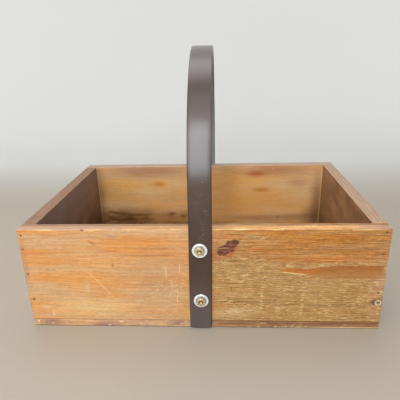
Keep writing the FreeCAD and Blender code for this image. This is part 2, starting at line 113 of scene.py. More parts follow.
class Shader:
    """The nodes of one material. Colours of three numbers are given as they are seen."""

    def __init__(self, name):
        self.material = bpy.data.materials.new(name)
        self.material.use_nodes = True
        self.tree = self.material.node_tree
        self.surface = self.tree.nodes["Principled BSDF"]
        place = self.add("ShaderNodeTexCoord").outputs["Object"]
        self.place = self.vector("MULTIPLY", place, (1000, 1000, 1000))
        self.x, self.y, self.z = self.parts(self.place)
        self.colour = None

    def feed(self, socket, value):
        """Link something to an input, or set the input to a plain number or colour."""
        if isinstance(value, Value):
            value = value.socket
        if isinstance(value, bpy.types.NodeSocket):
            self.tree.links.new(value, socket)
        elif socket.type == "RGBA" and len(value) == 3:
            socket.default_value = srgb(value)
        else:
            socket.default_value = value

    def add(self, kind, inputs=(), **settings):
        node = self.tree.nodes.new(kind)
        for name, setting in settings.items():
            setattr(node, name, setting)
        pairs = inputs.items() if isinstance(inputs, dict) else enumerate(inputs)
        for name, value in pairs:
            self.feed(node.inputs[name], value)
        return node

    def math(self, operation, *values):
        return Value(self, self.add("ShaderNodeMath", values, operation=operation).outputs[0])

    def vector(self, operation, *values):
        node = self.add("ShaderNodeVectorMath", values, operation=operation)
        if operation in ("LENGTH", "DOT_PRODUCT"):
            return Value(self, node.outputs["Value"])
        return node.outputs["Vector"]

    def parts(self, vector):
        """The three numbers of a vector."""
        return [Value(self, part) for part in self.add("ShaderNodeSeparateXYZ", [vector]).outputs]

    def least(self, first, *others):
        for other in others:
            first = self.math("MINIMUM", first, other)
        return first

    def most(self, first, *others):
        for other in others:
            first = self.math("MAXIMUM", first, other)
        return first

    def point(self, x, y, z):
        return self.add("ShaderNodeCombineXYZ", (x, y, z)).outputs[0]

    def band(self, value, low, high):
        """0 at low, 1 at high and smooth between them, whichever is larger."""
        inputs = {"Value": value, "From Min": low, "From Max": high}
        node = self.add("ShaderNodeMapRange", inputs, interpolation_type="SMOOTHSTEP", clamp=True)
        return Value(self, node.outputs["Result"])

    def noise(self, cell, detail=2.0, rough=0.5, shift=(0, 0, 0)):
        """Noise from 0 to 1 whose cells measure so many millimetres along each axis."""
        steps = tuple(1 / size for size in cell)
        scaled = self.vector("MULTIPLY_ADD", self.place, steps, shift)
        inputs = {"Vector": scaled, "Scale": 1.0, "Detail": detail, "Roughness": rough}
        return Value(self, self.add("ShaderNodeTexNoise", inputs).outputs[0])

    def mix(self, factor, first, second, kind="MIX"):
        inputs = {0: factor, 6: first, 7: second}
        settings = {"data_type": "RGBA", "blend_type": kind, "clamp_factor": True}
        return self.add("ShaderNodeMix", inputs, **settings).outputs[2]

    def ramp(self, value, stops):
        node = self.add("ShaderNodeValToRGB", [value])
        elements = node.color_ramp.elements
        while len(elements) < len(stops):
            elements.new(0.5)
        for element, (place, colour) in zip(elements, stops):
            element.position = place
            element.color = colour
        return node.outputs[0]

    def spot(self, centre, radii, turn=0.0, plane="xz", edge=0.0):
        """1 inside a soft ellipse on a plane and 0 outside. turn tips it, in degrees."""
        first = getattr(self, plane[0]) - centre[0]
        second = getattr(self, plane[1]) - centre[1]
        cos, sin = math.cos(math.radians(turn)), math.sin(math.radians(turn))
        along = first * (cos / radii[0]) + second * (sin / radii[0])
        over = first * (-sin / radii[1]) + second * (cos / radii[1])
        return self.band(self.math("SQRT", along * along + over * over), 1.0, edge)

    def stroke(self, start, end, width):
        """1 along a straight scratch between two places in X and Z, fading to 0 beside it."""
        first, second = self.x - start[0], self.z - start[1]
        run = (end[0] - start[0], end[1] - start[1])
        length = math.hypot(*run)
        share = first * (run[0] / length ** 2) + second * (run[1] / length ** 2)
        share = self.most(self.least(share, 1.0), 0.0)
        first, second = first - share * run[0], second - share * run[1]
        return self.band(self.math("SQRT", first * first + second * second), width, 0.0)

    def cover(self, strength, tint, kind="MIX"):
        """Lay a tint over the colour so far."""
        self.colour = self.mix(strength, self.colour, tint, kind)

    def within(self, mask, before):
        """Keep what was laid over an earlier colour only where the mask is 1."""
        self.colour = self.mix(mask, before, self.colour)

    def strokes(self, rows, tint):
        """Straight lines of one tint: start, end, width and strength."""
        for start, end, width, strength in rows:
            self.cover(self.stroke(start, end, width) * strength, tint)

    def finish(self, roughness, height, metallic=0.0, **sockets):
        """Connect the colour, the roughness and a height in millimetres."""
        sockets.update(Base_Color=self.colour, Roughness=roughness, Metallic=metallic)
        if isinstance(height, Value):
            bump = {"Height": height, "Distance": MM, "Strength": 1.0}
            sockets["Normal"] = self.add("ShaderNodeBump", bump).outputs[0]
        for name, value in sockets.items():
            self.feed(self.surface.inputs[name.replace("_", " ")], value)
        return self.material


# Colours of the old varnished pine
HONEY = (220, 176, 118)
ORANGE = (213, 148, 86)
RUST = (184, 108, 58)
RUSTY_SPOT = (172, 100, 58)
PINKISH = (196, 150, 118)
MAUVE = (160, 118, 102)
BARE_WOOD = (246, 208, 142)
FLECK = (232, 200, 146)
DARK_LINE = (112, 66, 36)
GRIME = (78, 54, 38)
KNOT_DARK = (80, 40, 32)
KNOT_RED = (136, 68, 42)

# What the grain does to whatever colour lies under it, as factors
REDDER = (1.06, 0.83, 0.50, 1)
PALER = (1.04, 1.20, 1.45, 1)
PINKER = (0.80, 0.73, 1.0, 1)
GREENER = (0.72, 0.73, 0.66, 1)
BLOOM = (0.96, 1.07, 1.50, 1)
LATE_WOOD = (0.68, 0.40, 0.28, 1)
PORE = (0.45, 0.36, 0.32, 1)

# How far the rings lean away from the heart along a board
RING_SLOPE = 0.012


class Wood(Shader):
    """Pine in the solid: rings round a heart, fibres along the board, and its varnish."""

    def __init__(self, name, node, along, heart, spacing, shift):
        super().__init__(name)
        low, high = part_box(node)
        self.low, self.high = tuple(low * 1000), tuple(high * 1000)
        self.along = along
        self.shift = shift
        parts = (self.x, self.y, self.z)
        across = [axis for axis in range(3) if axis != along]
        sway = self.uneven(self.cell(160, 60, 60), 2, 14.0)
        first = parts[across[0]] - heart[0]
        second = parts[across[1]] - heart[1] + sway
        reach = self.math("SQRT", first * first + second * second)
        wobble = self.uneven(self.cell(50, 9, 9), 3, 3.4)
        turns = (reach + parts[along] * RING_SLOPE + wobble) / spacing
        share = self.math("FRACT", turns)
        self.late = self.math("POWER", share, 2.6) * self.band(share, 1.0, 0.9)

    def uneven(self, cell, detail, size):
        """Noise that swings evenly to both sides of zero, over about this size in all."""
        return (self.noise(cell, detail, 0.5, self.shift) - 0.5) * size

    def cell(self, along, first, second):
        """Cell sizes for noise, given along the grain and over the other two axes."""
        sizes = [first, second]
        sizes.insert(self.along, along)
        return tuple(sizes)

    def edge_distance(self):
        """How far a point of the surface is from the nearest edge of the board's box."""
        parts = []
        for value, low, high in zip((self.x, self.y, self.z), self.low, self.high):
            parts.append(self.least(value - low, high - value))
        return parts[0] + parts[1] + parts[2] - self.least(*parts) - self.most(*parts)

    def grain(self, lines, streaks, fibre, dirt=1.0):
        """Streaks, rings and fibres over the colour. dirt is the share of the darker ones."""
        streak = self.noise(self.cell(38, 3.4, 3.4), 4, 0.6, self.shift)
        blush = self.noise(self.cell(40, 7, 7), 3, 0.6, (7.1, 3.3, 5.9))
        haze = self.noise(self.cell(20, 5, 5), 4, 0.6, (2.2, 8.1, 6.4))
        bloom = self.noise(self.cell(11, 2.6, 2.6), 4, 0.65, (9.3, 6.1, 0.7))
        pores = self.noise(self.cell(6, 0.9, 0.9), 2, 0.6, (5.5, 2.5, 7.5))
        long_fibres = self.noise(self.cell(24, 1.4, 1.4), 4, 0.62, self.shift)
        short_fibres = self.noise(self.cell(4.2, 1.5, 1.5), 3, 0.6, (6.2, 1.8, 3.9))
        self.fibres = long_fibres * 0.6 + short_fibres * 0.4
        layers = (
            (self.band(streak, 0.50, 0.72) * 0.60 * streaks, REDDER),
            (self.band(streak, 0.46, 0.28) * 0.26 * streaks, PALER),
            (self.band(blush, 0.50, 0.68) * 0.40 * streaks * dirt, PINKER),
            (self.band(haze, 0.50, 0.68) * 0.38 * streaks * dirt, GREENER),
            (self.band(bloom, 0.50, 0.66) * 0.55 * streaks, BLOOM),
            (self.late * lines, LATE_WOOD),
            (self.band(pores, 0.60, 0.68) * 0.5 * fibre, PORE),
        )
        for strength, factors in layers:
            self.cover(strength, factors, "MULTIPLY")
        shade = self.ramp(self.fibres, (
            (0.36, (0.70, 0.64, 0.58, 1)),
            (0.48, (0.98, 0.97, 0.96, 1)),
            (0.62, (1.22, 1.23, 1.25, 1))))
        self.cover(fibre, shade, "MULTIPLY")

    def knot(self, centre, radii, turn, plane="xz"):
        """A small round knot: a dark heart in a red ring, and stained wood round it."""
        ragged = self.uneven((4, 4, 4), 3, 0.5)
        halo = self.spot(centre, (radii[0] * 2.6, radii[1] * 2.0), turn, plane)
        body = self.band(self.spot(centre, radii, turn, plane) + ragged * halo, 0.12, 0.3)
        heart = self.spot(centre, (radii[0] * 0.6, radii[1] * 0.6), turn, plane, 0.5)
        self.cover(halo * 0.55, RUSTY_SPOT)
        self.cover(body * 0.8, KNOT_RED)
        self.cover(heart * 0.8, KNOT_DARK)

    def flecks(self, region, least, boost):
        """Short pale dashes along the grain where varnish has flaked off."""
        dashes = self.noise(self.cell(5.5, 0.75, 0.75), 3, 0.65, (3.7, 9.2, 1.4))
        groups = self.noise(self.cell(22, 7, 7), 2, 0.6, (1.9, 4.4, 8.3))
        weight = (groups - 0.5) * 0.28 + dashes + boost
        return self.band(weight, least, least + 0.06) * region

    def paint(self, patches):
        """Soft patches in X and Z: centre, half sizes, tint, strength and perhaps a tilt."""
        for x, z, wide, high, tint, strength, *turn in patches:
            self.cover(self.spot((x, z), (wide, high), *turn) * strength, tint)

    def wear_edges(self, strength=0.35, top_strength=0.8):
        """Bare wood along the board's edges, in ragged stretches, brightest along the top."""
        stretches = self.noise(self.cell(30, 9, 9), 2, 0.6, (5, 2, 8))
        ragged = self.noise((3, 3, 3), 2, 0.6, (2, 6, 1))
        width = self.band(stretches * 0.55 + ragged * 0.45, 0.44, 0.68) * 1.4
        worn = self.band(self.edge_distance() - width, 0.35, -0.35)
        share = strength + self.band(self.z, 122, 125) * (top_strength - strength)
        self.cover(worn * share, BARE_WOOD)

    def finish_wood(self, roughness, extra_height=0.0):
        broad = self.noise((60, 60, 60)) * 0.5
        height = self.fibres * 0.1 + self.late * 0.05 + broad + extra_height
        return self.finish(roughness + self.fibres * 0.14, height, Specular_IOR_Level=0.3)


# Where nails stain the front board, in X and Z
NAIL_SPOTS = ((-198.7, 119.5), (-199.6, 102.6), (-199.3, 70.7), (-197.6, 36.6),
              (197.5, 122.5), (196.5, 96.8), (197.5, 48.8))

# Patches and strokes on the front board, as paint and strokes take them
FRONT_CLOUDS = (
    (-50, 70, 62, 50, (190, 152, 110), 0.6),
    (-45, 34, 64, 34, (198, 168, 128), 0.6),
    (-130, 26, 90, 20, (228, 196, 140), 0.75),
    (-110, 86, 90, 14, HONEY, 0.4),
    (-130, 62, 60, 20, (226, 158, 78), 0.6),
    (-187, 98, 26, 3.4, (222, 136, 82), 0.8, -6),
    (-176, 84, 24, 5.0, ORANGE, 0.5),
    (-150, 108, 50, 5, ORANGE, 0.35),
    (-150, 117, 54, 4, PINKISH, 0.35),
    (-60, 104, 40, 2.6, RUST, 0.3),
    (-60, 95, 40, 2.6, RUST, 0.3),
    (-44, 113, 36, 3.0, RUST, 0.25),
    (100, 112, 70, 11, (204, 144, 70), 0.55),
    (140, 91, 60, 7, (206, 132, 62), 0.6),
    (31, 117.5, 22, 5, (208, 132, 68), 0.65),
    (63, 103.5, 16, 2.4, (190, 104, 52), 0.6, -8),
    (61, 117.5, 15, 5.5, (190, 160, 106), 0.7, -12),
    (40, 54, 24, 1.8, RUST, 0.4),
    (195, 60, 14, 70, PINKISH, 0.5),
    (-199, 84, 4, 56, MAUVE, 0.35),
    (40, 22, 40, 10, (236, 206, 154), 0.4),
    (-15, 18, 6, 11, (220, 172, 76), 0.6),
)
DARK_GRAIN = (
    ((120, 103), (204, 103), 0.9, 0.75),
    ((144, 108.1), (204, 108.1), 0.6, 0.4),
    ((60, 92), (110, 91), 0.7, 0.35),
    ((22, 36), (84, 35.2), 1.1, 0.75),
    ((84, 31.8), (160, 32.6), 0.7, 0.5),
    ((13, 59.6), (51, 59.8), 0.7, 0.5),
    ((150, 113), (200, 112), 0.6, 0.35),
    ((120, 121), (200, 119.5), 0.6, 0.3),
    ((-92, 104.4), (-28, 103.2), 0.6, 0.25),
    ((-92, 95), (-28, 95.1), 0.7, 0.3),
    ((-85, 116.4), (-15, 116.3), 0.6, 0.25),
)
SCRATCHES = (
    ((-130.5, 76.5), (-105, 44.9), 0.6, 0.95),
    ((-139.5, 85.2), (-130.5, 76.5), 0.5, 0.35),
    ((-105, 44.9), (-98, 37), 0.5, 0.3),
    ((-23.2, 83.9), (-23.7, 72), 0.7, 0.9),
    ((-26.9, 51), (-27.8, 30.7), 0.6, 0.8),
    ((-27.8, 30.7), (-30.3, 23.8), 0.7, 0.9),
    ((92, 74.3), (114, 72.0), 1.0, 1.0),
)
FRONT_MARKS = (
    (-119.5, 110.6, 5.5, 1.5, KNOT_RED, 0.85, -20),
    (-123, 113.2, 2.6, 1.0, KNOT_RED, 0.5),
    (-118, 117.6, 9, 1.2, (150, 128, 112), 0.5, 8),
    (-96, 118, 11, 2.6, (172, 142, 134), 0.65, -8),
    (-98.8, 82.6, 2.4, 4.4, KNOT_RED, 0.5),
    (-91, 85, 8, 1.1, (166, 108, 84), 0.4),
    (-91, 80.6, 8, 1.1, (166, 108, 84), 0.4),
    (-62, 57, 16, 2.4, MAUVE, 0.35),
    (-131.5, 53, 4.6, 14, (208, 196, 148), 0.5),
    (-39, 74, 2.6, 12, (226, 194, 154), 0.5),
    (-33, 58, 2.6, 12, (226, 194, 154), 0.4),
    (-76, 60.6, 12, 1.4, (238, 208, 164), 0.5),
    (-50, 50.7, 2.6, 1.4, BARE_WOOD, 0.8),
    (-184, 26.4, 10, 3, (222, 212, 166), 0.55),
    (-176.6, 17.5, 3, 6, (226, 210, 166), 0.5),
    (198, 36.5, 9.5, 6.6, GRIME, 0.75),
    (193, 37, 5.5, 4.5, GRIME, 0.6),
    (200, 50, 5, 3, (206, 204, 140), 0.45),
    (184, 45, 5, 3, (206, 196, 140), 0.35),
    (204, 102, 2.2, 9, (186, 176, 96), 0.5),
    (201.5, 79.5, 2.6, 2.4, (226, 204, 140), 0.7),
    (204, 70, 3, 60, MAUVE, 0.5),
    (-203, 64, 2.2, 80, (178, 104, 82), 0.6),
)
RUBBED_EDGE = (
    (45, 126.4, 15, 1.5, (255, 226, 156), 0.9),
    (82, 126, 10, 1.3, BARE_WOOD, 0.6),
    (178, 126, 24, 1.2, BARE_WOOD, 0.6),
    (-170, 126, 18, 1.4, (255, 226, 156), 0.7),
    (-120, 126, 9, 1.3, (255, 226, 156), 0.6),
)


def front_wood():
    """The front board, with the marks that the photograph shows, in X and Z."""
    wood = Wood("pine_front_worn", "front_board", 0, (-90.0, -14.0), 4.3, (2.3, 0.7, 5.1))
    band, mix, cover = wood.band, wood.mix, wood.cover
    spot, stroke = wood.spot, wood.stroke
    x, y, z = wood.x, wood.y, wood.z
    broad = wood.noise((140, 60, 14), 3, 0.55, (4, 1, 6))
    right = band(x, -30, 50)
    left_colour = mix(band(broad, 0.34, 0.66), (212, 168, 120), (220, 148, 76))
    right_colour = mix(band(broad, 0.36, 0.66), (190, 142, 84), (190, 124, 48))
    wood.colour = mix(right, left_colour, right_colour)
    border = z + wood.uneven((60, 9, 9), 2, 10) + band(x, 100, 40) * -8
    low_right = right * band(border, 94, 80)
    cover(low_right * 0.85, (178, 139, 84))
    wood.paint(FRONT_CLOUDS)

    # The top face: pinkish to the left and golden to the right
    top_colour = mix(band(x, -125, -60), (222, 178, 144), (232, 178, 124))
    top_colour = mix(band(x, -10, 60), top_colour, (255, 198, 126))
    top_colour = mix(band(x, 150, 190), top_colour, (232, 182, 146))
    cover(band(z, 125.6, 126.6), top_colour)
    cover(band(y, -126, -122) * 0.6, (150, 104, 68))
    outer = band(y, -130.5, -132)

    # The flame: a pointed streak of late wood that opens to the right
    opening = band(x, 86, 100) * 2.6 + band(x, 108, 152) * 5.0
    opening += wood.uneven((22, 22, 22), 2, 1.8)
    middle = z - 76.7 + band(x, 90, 125) * 1.7
    reach = abs(middle) - opening
    inside = band(reach, 0.5, -0.5) * band(x, 86, 89) * band(x, 204, 196)
    depth = 0.55 + band(middle, -6, 3) * 0.45
    cover(inside * depth, (170, 107, 50))
    cover(inside * band(x, 134, 118) * 0.75, (194, 116, 48))

    # The grain, whose lines are finest and sharpest in the bare part low on the right
    upper_right = right * band(z, 82, 90)
    lines = 0.2 + upper_right * 0.55
    streaks = 0.62 + right * 0.38 + upper_right * 0.3
    fibre = 0.6 + right * 0.4 - inside * 0.45
    dirt = 0.3 + right * 0.45 - low_right * 0.35
    wood.grain(lines, streaks, fibre, dirt)
    fine = wood.noise(wood.cell(18, 1.2, 1.2), 3, 0.7, (4.4, 8.8, 1.1))
    shade = wood.ramp(fine, (
        (0.34, (0.64, 0.56, 0.48, 1)),
        (0.49, (1, 1, 1, 1)),
        (0.66, (1.28, 1.30, 1.28, 1))))
    sharper = (0.1 + right * 0.65) * (1.0 - inside)
    cover(sharper, shade, "MULTIPLY")
    rim = band(abs(reach), 1.2, 0.0) * inside * band(middle, 0, 2.5)
    cover(rim * 0.6, (146, 82, 40))
    cover(stroke((108, 77.4), (122, 76.4), 1.6) * 0.6, (168, 88, 38))
    cover(spot((112, 82.6), (11, 1.7)) * 0.6, (140, 106, 92))
    wood.strokes(DARK_GRAIN, DARK_LINE)

    # The knot, which tips up to the right, with rusty wood round it
    ragged = wood.uneven((5.5, 5.5, 3.4), 4, 2.0)
    halo = spot((27, 99.5), (24, 14), 25)
    ring = band(halo + ragged * 1.1 * halo, 0.12, 0.5)
    lobes = wood.most(
        spot((31.5, 105), (18, 10.5), 39),
        spot((26, 100.5), (11, 9.6)),
        spot((38.5, 111), (8.4, 6.4), 20))
    knot = band(lobes + ragged * band(lobes, 0.0, 0.4), 0.22, 0.62)
    cover(ring * 0.65, RUSTY_SPOT)
    core = mix(band(wood.noise((6, 6, 3), 3, 0.6), 0.44, 0.66), KNOT_DARK, KNOT_RED)
    cover(knot * 0.92, core)
    cover(stroke((21, 103.8), (32, 104.3), 0.6) * 0.55, FLECK)
    cover(spot((18.9, 109.3), (1.4, 1.4)) * 0.9, KNOT_DARK)

    # Bare flecks, scratches and dents
    columns = wood.most(spot((69, 48), (3.4, 50), -1.5), spot((115, 42), (3.4, 44), -3))
    region = low_right * (0.8 - inside * 0.75) + 0.16
    for centre, radii, strength in (
            ((-36, 50), (36, 52), 0.75), ((-100, 16), (100, 22), 0.6),
            ((-142, 104), (52, 9), 0.45), ((60, 118), (60, 8), 0.4)):
        region += spot(centre, radii) * strength
    flecks = wood.flecks(region, 0.58, columns * 0.09) * outer
    cover(flecks * 0.9, FLECK)
    faded = band(wood.noise((9, 9, 9), 2, 0.6, (8, 8, 2)), 0.36, 0.52)
    scratches = [stroke(start, end, width) * share for start, end, width, share in SCRATCHES]
    scratches = wood.most(*scratches) * (outer * (0.4 + faded * 0.6))
    cover(scratches, BARE_WOOD)
    cover(stroke((34.6, 50), (34.6, 55), 0.8) * 0.7, DARK_LINE)
    wood.paint(FRONT_MARKS)

    # Wear on the upper front edge, and the stains round the nails
    before = wood.colour
    wood.paint(RUBBED_EDGE)
    wood.within(band(y, -129.5, -131.5), before)
    nick = spot((-129, 126), (3, 2.4)) * band(y, -131.5, -132.5)
    cover(nick * 0.8, GRIME)
    wood.wear_edges()
    for place in NAIL_SPOTS:
        cover(spot(place, (2.2, 2.0)) * outer * 0.45, GRIME)
    return wood.finish_wood(0.42, scratches * -0.25 - knot * 0.2 - flecks * 0.08)


# The same for the inside of the back board
BACK_CLOUDS = (
    (-100, 119, 130, 22, (186, 132, 102), 0.85),
    (-60, 72, 70, 18, (220, 174, 118), 0.5),
    (-84.5, 97, 30, 14, (240, 180, 92), 0.6),
    (-83, 96, 17, 8, (208, 126, 50), 0.7),
    (110, 119, 110, 18, (192, 132, 98), 0.8),
    (60, 78, 100, 26, (236, 172, 84), 0.5),
    (80, 112.5, 26, 8, (180, 90, 38), 0.8),
    (88.5, 84.5, 24, 7, (206, 118, 44), 0.75),
    (150, 98, 30, 14, (200, 142, 104), 0.5),
    (90, 34, 100, 11, (172, 118, 82), 0.65),
    (118, 35, 4, 5, GRIME, 0.4),
    # The last three rows: painted shade up the right corner, a dark patch low in it, and painted
    # shade up the left corner
    (182, 66, 18, 70, (112, 76, 50), 0.7),
    (180, 34, 36, 32, (74, 44, 24), 0.7),
    (-187, 80, 20, 74, (124, 92, 72), 0.65),
)
STAIN_MARKS = (
    (-140, 32, 36, 8, (96, 56, 26), 0.75),
    (-63.5, 42, 12, 6, GRIME, 0.65, 12),
    (-44, 37, 8, 6, (104, 66, 34), 0.6, -20),
    (-80, 33, 22, 3, (206, 156, 120), 0.5),
    (150, 36, 46, 10, (132, 84, 44), 0.4),
    (106.3, 121.3, 1.3, 1.3, BARE_WOOD, 0.9),
)


def back_wood():
    """The back board: golden inside, with rusty spots, a dirty stain low down and painted shade in
    its inner corners.
    """
    wood = Wood("pine_back_worn", "back_board", 0, (178.0, 60.0), 5.2, (8.3, 2.7, 1.1))
    band, mix, cover = wood.band, wood.mix, wood.cover
    broad = wood.noise((120, 60, 26), 3, 0.55, (4, 1, 6))
    inner = band(wood.y, 121, 118.5)
    outside = mix(band(broad, 0.36, 0.64), (216, 168, 108), (206, 146, 84))
    wood.colour = mix(band(broad, 0.36, 0.64), (234, 192, 134), (236, 180, 106))
    wood.paint(BACK_CLOUDS)
    wood.within(inner, outside)
    cover(band(wood.z, 125.6, 126.6), (204, 174, 150))
    outer_share = 1.0 - inner
    lines, streaks = 0.1 + outer_share * 0.3, 0.35 + outer_share * 0.65
    wood.grain(lines, streaks, 0.32 + outer_share * 0.48)
    before = wood.colour
    wood.knot((-86, 95.5), (7.5, 5.2), 8)
    wood.knot((88, 90), (5.5, 4.0), -10)
    wood.within(outer_share, before)

    # The dirt that stood in the box: a ragged stain under two dark tide lines
    ragged = wood.uneven((44, 20, 12), 4, 18)
    stain = band(wood.z + ragged, 60, 36) * band(wood.x, 10, -40)
    stain *= 0.75 + band(wood.x, -90, -112) * 0.35
    cloudy = wood.noise((26, 20, 7), 4, 0.6, (3, 1, 7))
    stain *= 0.68 + band(cloudy, 0.36, 0.64) * 0.32
    before = wood.colour
    cover(stain * 0.85, (112, 70, 36))
    cover(band(wood.z + ragged, 34, 18) * 0.35, GRIME)
    wood.paint(STAIN_MARKS)
    tide_lines = (((-172, 47), (-150, 40), 4.0, 0.5), ((-150, 40), (-118, 39.5), 2.0, 0.5))
    wood.strokes(tide_lines, (104, 66, 34))
    wood.strokes([((x, 20), (x, 118), 0.9, 0.45) for x in (-186.5, 186.6)], BARE_WOOD)
    wood.within(inner, before)
    wood.wear_edges(0.3, 0.45)
    return wood.finish_wood(0.46)


def end_wood(name, node, heart, shift, side, inside, rim, knot_place):
    """An end board: honey outside, darker on its inner face, which is partly dirt and partly
    painted shade.
    """
    wood = Wood(name, node, 1, heart, 4.4, shift)
    band, mix, cover = wood.band, wood.mix, wood.cover
    broad = wood.noise((60, 120, 18), 3, 0.55, (4, 1, 6))
    wood.colour = mix(band(broad, 0.36, 0.64), (216, 168, 108), (204, 142, 80))
    inner = band(wood.x * side, 190, 188)
    dirt = band(wood.noise(wood.cell(50, 22, 22), 3, 0.6, shift), 0.36, 0.66)
    # The inner face: mottled dirt together with painted shade
    shaded = mix(dirt, inside[0], inside[1])
    if side < 0:
        shaded = mix(band(wood.z, 60, 115) * 0.65, shaded, (160, 138, 134))
    cover(inner, shaded)
    cover(band(wood.z, 125.6, 126.6), rim)
    outer_share = 1.0 - inner
    lines, streaks = 0.05 + outer_share * 0.4, 0.4 + outer_share * 0.5
    wood.grain(lines, streaks, 0.35 + outer_share * 0.35)
    before = wood.colour
    wood.knot(knot_place, (6.5, 4.6), 12, "yz")
    wood.within(outer_share, before)
    cover(band(wood.z, 95, 16) * inner * 0.45, GRIME)
    wood.wear_edges(0.35, 0.55)
    return wood.finish_wood(0.46)


# The same for the edges of the bottom board
BOTTOM_CLOUDS = (
    (-182, 5, 22, 12, MAUVE, 0.75),
    (-116, 3, 24, 7, MAUVE, 0.7),
    (-27, 5, 20, 12, MAUVE, 0.8),
    (-148, 4, 14, 9, HONEY, 0.6),
)
BOTTOM_CHIPS = (
    (-197, 6.3, 1.6, 2.6, (255, 246, 232), 0.9),
    (-179.7, 3.5, 2.0, 1.8, BARE_WOOD, 0.9),
    (-147, 1.8, 3.0, 1.4, BARE_WOOD, 0.9),
    (-96, 6.8, 5, 1.5, (250, 226, 190), 0.8),
    (-110.5, 1.6, 3, 1.8, (250, 226, 190), 0.8),
    (86, 1.6, 3, 1.6, BARE_WOOD, 0.9),
    (112, 1.6, 5, 1.6, BARE_WOOD, 0.9),
)


def bottom_wood():
    """The bottom board: a pinkish brown edge with pale chips, worn and dirty inside, and a painted
    contact shadow along its foot.
    """
    wood = Wood("pine_bottom_worn", "bottom_board", 0, (30.0, -60.0), 5.0, (6.3, 1.7, 3.1))
    band, mix, cover = wood.band, wood.mix, wood.cover
    x, y, z = wood.x, wood.y, wood.z
    broad = wood.noise((70, 60, 30), 3, 0.55, (4, 1, 6))
    left = mix(band(broad, 0.4, 0.6), (208, 164, 124), (218, 172, 124))
    right = mix(band(broad, 0.4, 0.6), (150, 108, 76), (168, 124, 82))
    wood.colour = mix(band(x, -30, 40), left, right)
    wood.paint(BOTTOM_CLOUDS)
    inner = band(z, 8.6, 9.4) * band(abs(y), 131, 126)
    dirt = band(wood.noise((55, 45, 30), 3, 0.6, (3, 3, 9)), 0.42, 0.72)
    cover(inner, mix(dirt, (184, 136, 88), (132, 94, 64)))
    wood.grain(0.35, 0.8, 0.9)
    front = band(y, -131.5, -133)
    chips = wood.noise((5, 5, 2.4), 3, 0.6, (9, 4, 4))
    stretch = wood.noise((30, 30, 30), 2, 0.5, (1, 9, 2))
    weight = chips * 0.6 + stretch * 0.4
    low_edge = band(z, 3.0, 0.8)
    chipped = band(weight + low_edge * 0.1, 0.57, 0.62) * (0.5 + low_edge * 0.5)
    cover(chipped * band(z, 9.3, 8.0) * 0.8, BARE_WOOD)
    pale_line = band(z, 2.7, 2.0) * band(x, 100, 150) * front
    cover(pale_line * 0.7, BARE_WOOD)
    wood.paint(BOTTOM_CHIPS)
    seam = band(z, 8.7, 9.4) * band(y, -131, -133)
    cover(seam * (0.3 + band(x, -10, 30) * 0.45), DARK_LINE)
    for start, end in (((76, 6.4), (150, 6.2)), ((20, 5.2), (60, 5.6)), ((150, 7.4), (200, 7.2))):
        cover(wood.stroke(start, end, 1.1) * front * 0.8, DARK_LINE)
    # Painted contact shadow: the foot of the board darkened where it meets the floor
    contact_shadow = band(z, 1.5, 0.8) * band(abs(y), 130, 132)
    cover(contact_shadow * 0.9, (44, 30, 24))
    return wood.finish_wood(0.5)


def leather():
    """Dark brown strap leather: a satin coat outside, a greyish flesh side and pale scuffs, with
    painted sheen over the arch, painted reflection on the feet and flesh side, and painted shade
    along the edges.
    """
    shader = Shader("strap_leather_coated")
    band, mix, cover, z = shader.band, shader.mix, shader.cover, shader.z
    low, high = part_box("handle_strap")
    spring = (high.z - high.y) * 1000
    over = shader.most(z - spring, 0.0)
    out = shader.vector("NORMALIZE", shader.point(0.0, shader.y, over))
    normal = shader.add("ShaderNodeNewGeometry").outputs["Normal"]
    inner = band(shader.vector("DOT_PRODUCT", out, normal), 0.1, -0.5)
    sideways = shader.parts(normal)[0]
    # Painted shade along both rounded edges of the strap, deeper on the right edge
    to_right = band(sideways, -0.1, 0.1)
    edge_shade = band(abs(sideways), 0.1, 0.5) * (0.6 + to_right * 0.4)
    grain = shader.noise((0.9, 0.9, 0.9), 3, 0.55)
    cloud = shader.noise((30, 30, 40), 3, 0.6, (2, 5, 1))
    shader.colour = mix(band(cloud, 0.35, 0.7), (56, 29, 12), (68, 39, 18))
    # Greyer over the arch: painted sheen
    cover(band(z, 215, 290) * 0.7, (72, 58, 54))
    # Greyer and bluer towards the feet: painted reflection of the pale floor
    cover(band(z, 78, 14) * 0.75, (90, 80, 80))
    specks = shader.noise((1.0, 1.0, 1.4), 2, 0.5, (4, 4, 4))
    patch = band(shader.noise((10, 10, 15), 2, 0.5, (9, 1, 3)), 0.44, 0.58)
    handled = patch * band(z, 104, 114) * band(z, 205, 165)
    handled *= 0.3 + band(shader.x, 0, 5) * 0.7
    scuffs = band(specks, 0.61, 0.67) * handled
    pits = band(specks, 0.4, 0.34) * handled
    cover(scuffs * 0.6, (170, 158, 150))
    cover(pits * 0.5, (36, 24, 20))
    # The flesh side: its own greyish colour, lightened and blued as a painted reflection of
    # daylight
    cover(inner * 0.8, (160, 168, 180))
    # The painted shade along the edges
    cover(edge_shade * 0.95, (38, 18, 14))
    roughness = 0.34 + cloud * 0.12 + scuffs * 0.2
    height = grain * 0.08 + shader.noise((7, 7, 9), 2) * 0.2
    return shader.finish(roughness, height, Specular_IOR_Level=0.15, Coat_Weight=1.0,
                         Coat_IOR=1.56, Coat_Roughness=0.29)


def bolt_distance(shader):
    """How far a point is from the axis of its bolt. The bolts stand in two rows at X = 0."""
    rows = ("upper", "lower")
    upper, lower = (sum(corner.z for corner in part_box(f"front_{row}_bolt")) * 500 for row in rows)
    from_middle = abs(shader.z - (upper + lower) / 2)
    return shader.vector("LENGTH", shader.point(shader.x, 0.0, from_middle - (upper - lower) / 2))


